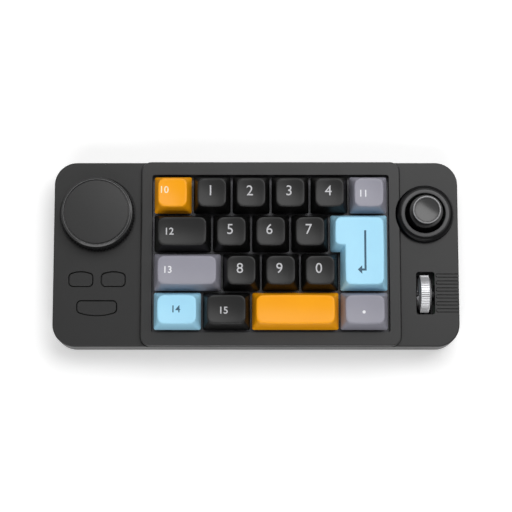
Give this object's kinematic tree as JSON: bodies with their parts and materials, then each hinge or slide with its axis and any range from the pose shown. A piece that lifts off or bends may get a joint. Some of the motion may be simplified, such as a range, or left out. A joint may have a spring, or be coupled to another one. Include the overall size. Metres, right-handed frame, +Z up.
{
  "type": "macro keypad with knobs",
  "caption": "Flat desk keypad with a raised block of dished keys, a knurled dial, flush buttons, a thumb stick and a ribbed scroll wheel on its two wings.",
  "frame": {"origin": "on the desk, under the middle of the case", "axes": "+X along the case from the dial to the thumb stick, +Y to the back edge with the cable inlet, +Z up"},
  "size_m": [0.198, 0.091, 0.031],
  "materials": {
    "case_plastic": "fine matte moulding",
    "knob_plastic": "matte",
    "button_plastic": "matte",
    "key_black": "satin moulded keycap",
    "key_orange": "satin moulded keycap",
    "key_grey": "satin moulded keycap",
    "key_blue": "satin moulded keycap",
    "dark_plastic": "plain moulded",
    "collar_plastic": "glossy",
    "grip_rubber": "smooth rubber",
    "foot_rubber": "matte rubber",
    "wheel_metal": "satin",
    "shaft_metal": "satin",
    "port_steel": "satin",
    "plate_steel": "satin painted",
    "screw_steel": "plain",
    "spring_steel": "plain",
    "board_laminate": "satin laminate",
    "legend_light": "key marking",
    "legend_cream": "key marking",
    "legend_white": "key marking",
    "legend_slate": "key marking"
  },
  "bodies": {
    "case": {"bottom_case": "case_plastic", "top_case": "case_plastic", "key_bezel": "case_plastic", "rubber_feet": "foot_rubber", "case_screws": "screw_steel", "main_board": "board_laminate", "controller_chip": "dark_plastic", "usb_socket": "port_steel", "switch_plate": "plate_steel", "plate_spacers": "dark_plastic", "switch_housings": "dark_plastic", "key_springs": "spring_steel", "dial_encoder": "dark_plastic", "button_switches": "dark_plastic", "joystick_ring": "collar_plastic", "joystick_housing": "port_steel", "joystick_sensors": "dark_plastic", "wheel_bracket": "dark_plastic", "wheel_encoder": "dark_plastic"},
    "dial": {"dial_knob": "knob_plastic", "dial_cap": "knob_plastic", "dial_shaft": "shaft_metal"},
    "left_button_body": {"left_button": "button_plastic", "left_plunger": "dark_plastic"},
    "right_button_body": {"right_button": "button_plastic", "right_plunger": "dark_plastic"},
    "wide_button_body": {"wide_button": "button_plastic", "wide_plunger": "dark_plastic"},
    "stick_yoke_body": {"joystick_yoke": "dark_plastic"},
    "stick_body": {"joystick_stick": "dark_plastic", "joystick_dome": "dark_plastic", "joystick_cap": "grip_rubber"},
    "wheel_body": {"scroll_wheel": "wheel_metal", "wheel_axle": "shaft_metal"},
    "key_escape_body": {"key_escape": "key_orange"},
    "key_1_body": {"key_1": "key_black"},
    "key_2_body": {"key_2": "key_black"},
    "key_3_body": {"key_3": "key_black"},
    "key_4_body": {"key_4": "key_black"},
    "key_delete_body": {"key_delete": "key_grey"},
    "key_tab_body": {"key_tab": "key_black"},
    "key_5_body": {"key_5": "key_black"},
    "key_6_body": {"key_6": "key_black"},
    "key_7_body": {"key_7": "key_black"},
    "key_enter_body": {"key_enter": "key_blue"},
    "key_shift_body": {"key_shift": "key_grey"},
    "key_8_body": {"key_8": "key_black"},
    "key_9_body": {"key_9": "key_black"},
    "key_0_body": {"key_0": "key_black"},
    "key_control_body": {"key_control": "key_blue"},
    "key_alt_body": {"key_alt": "key_black"},
    "key_space_body": {"key_space": "key_orange"},
    "key_point_body": {"key_point": "key_grey"}
  },
  "joints": [
    {"name": "dial_turn", "type": "hinge", "parent": "case", "child": "dial", "pos_m": [-0.0775, 0.01938, 0.0174], "axis": [0, 0, 1], "continuous": true},
    {"name": "wheel_turn", "type": "hinge", "parent": "case", "child": "wheel_body", "pos_m": [0.0822, -0.01925, 0.0128], "axis": [1, 0, 0], "continuous": true},
    {"name": "stick_tip_y", "type": "hinge", "parent": "case", "child": "stick_yoke_body", "pos_m": [0.0826, 0.01956, 0.013], "axis": [1, 0, 0], "range_deg": [-16, 16], "stiffness_Nm_per_rad": 0.03},
    {"name": "stick_tip_x", "type": "hinge", "parent": "stick_yoke_body", "child": "stick_body", "pos_m": [0.0826, 0.01956, 0.013], "axis": [0, 1, 0], "range_deg": [-16, 16], "stiffness_Nm_per_rad": 0.03},
    {"name": "left_button_press", "type": "slide", "parent": "case", "child": "left_button_body", "axis": [0, 0, -1], "range_m": [0, 0.0005], "stiffness_N_per_m": 1200, "springref_m": -0.0008},
    {"name": "right_button_press", "type": "slide", "parent": "case", "child": "right_button_body", "axis": [0, 0, -1], "range_m": [0, 0.0005], "stiffness_N_per_m": 1200, "springref_m": -0.0008},
    {"name": "wide_button_press", "type": "slide", "parent": "case", "child": "wide_button_body", "axis": [0, 0, -1], "range_m": [0, 0.0005], "stiffness_N_per_m": 1200, "springref_m": -0.0008},
    {"name": "key_escape_press", "type": "slide", "parent": "case", "child": "key_escape_body", "axis": [0, 0, -1], "range_m": [0, 0.004], "stiffness_N_per_m": 150, "springref_m": -0.002, "deforming": ["key_springs"]},
    {"name": "key_1_press", "type": "slide", "parent": "case", "child": "key_1_body", "axis": [0, 0, -1], "range_m": [0, 0.004], "stiffness_N_per_m": 150, "springref_m": -0.002, "deforming": ["key_springs"]},
    {"name": "key_2_press", "type": "slide", "parent": "case", "child": "key_2_body", "axis": [0, 0, -1], "range_m": [0, 0.004], "stiffness_N_per_m": 150, "springref_m": -0.002, "deforming": ["key_springs"]},
    {"name": "key_3_press", "type": "slide", "parent": "case", "child": "key_3_body", "axis": [0, 0, -1], "range_m": [0, 0.004], "stiffness_N_per_m": 150, "springref_m": -0.002, "deforming": ["key_springs"]},
    {"name": "key_4_press", "type": "slide", "parent": "case", "child": "key_4_body", "axis": [0, 0, -1], "range_m": [0, 0.004], "stiffness_N_per_m": 150, "springref_m": -0.002, "deforming": ["key_springs"]},
    {"name": "key_delete_press", "type": "slide", "parent": "case", "child": "key_delete_body", "axis": [0, 0, -1], "range_m": [0, 0.004], "stiffness_N_per_m": 150, "springref_m": -0.002, "deforming": ["key_springs"]},
    {"name": "key_tab_press", "type": "slide", "parent": "case", "child": "key_tab_body", "axis": [0, 0, -1], "range_m": [0, 0.004], "stiffness_N_per_m": 150, "springref_m": -0.002, "deforming": ["key_springs"]},
    {"name": "key_5_press", "type": "slide", "parent": "case", "child": "key_5_body", "axis": [0, 0, -1], "range_m": [0, 0.004], "stiffness_N_per_m": 150, "springref_m": -0.002, "deforming": ["key_springs"]},
    {"name": "key_6_press", "type": "slide", "parent": "case", "child": "key_6_body", "axis": [0, 0, -1], "range_m": [0, 0.004], "stiffness_N_per_m": 150, "springref_m": -0.002, "deforming": ["key_springs"]},
    {"name": "key_7_press", "type": "slide", "parent": "case", "child": "key_7_body", "axis": [0, 0, -1], "range_m": [0, 0.004], "stiffness_N_per_m": 150, "springref_m": -0.002, "deforming": ["key_springs"]},
    {"name": "key_enter_press", "type": "slide", "parent": "case", "child": "key_enter_body", "axis": [0, 0, -1], "range_m": [0, 0.004], "stiffness_N_per_m": 150, "springref_m": -0.002, "deforming": ["key_springs"]},
    {"name": "key_shift_press", "type": "slide", "parent": "case", "child": "key_shift_body", "axis": [0, 0, -1], "range_m": [0, 0.004], "stiffness_N_per_m": 150, "springref_m": -0.002, "deforming": ["key_springs"]},
    {"name": "key_8_press", "type": "slide", "parent": "case", "child": "key_8_body", "axis": [0, 0, -1], "range_m": [0, 0.004], "stiffness_N_per_m": 150, "springref_m": -0.002, "deforming": ["key_springs"]},
    {"name": "key_9_press", "type": "slide", "parent": "case", "child": "key_9_body", "axis": [0, 0, -1], "range_m": [0, 0.004], "stiffness_N_per_m": 150, "springref_m": -0.002, "deforming": ["key_springs"]},
    {"name": "key_0_press", "type": "slide", "parent": "case", "child": "key_0_body", "axis": [0, 0, -1], "range_m": [0, 0.004], "stiffness_N_per_m": 150, "springref_m": -0.002, "deforming": ["key_springs"]},
    {"name": "key_control_press", "type": "slide", "parent": "case", "child": "key_control_body", "axis": [0, 0, -1], "range_m": [0, 0.004], "stiffness_N_per_m": 150, "springref_m": -0.002, "deforming": ["key_springs"]},
    {"name": "key_alt_press", "type": "slide", "parent": "case", "child": "key_alt_body", "axis": [0, 0, -1], "range_m": [0, 0.004], "stiffness_N_per_m": 150, "springref_m": -0.002, "deforming": ["key_springs"]},
    {"name": "key_space_press", "type": "slide", "parent": "case", "child": "key_space_body", "axis": [0, 0, -1], "range_m": [0, 0.004], "stiffness_N_per_m": 150, "springref_m": -0.002, "deforming": ["key_springs"]},
    {"name": "key_point_press", "type": "slide", "parent": "case", "child": "key_point_body", "axis": [0, 0, -1], "range_m": [0, 0.004], "stiffness_N_per_m": 150, "springref_m": -0.002, "deforming": ["key_springs"]}
  ]
}
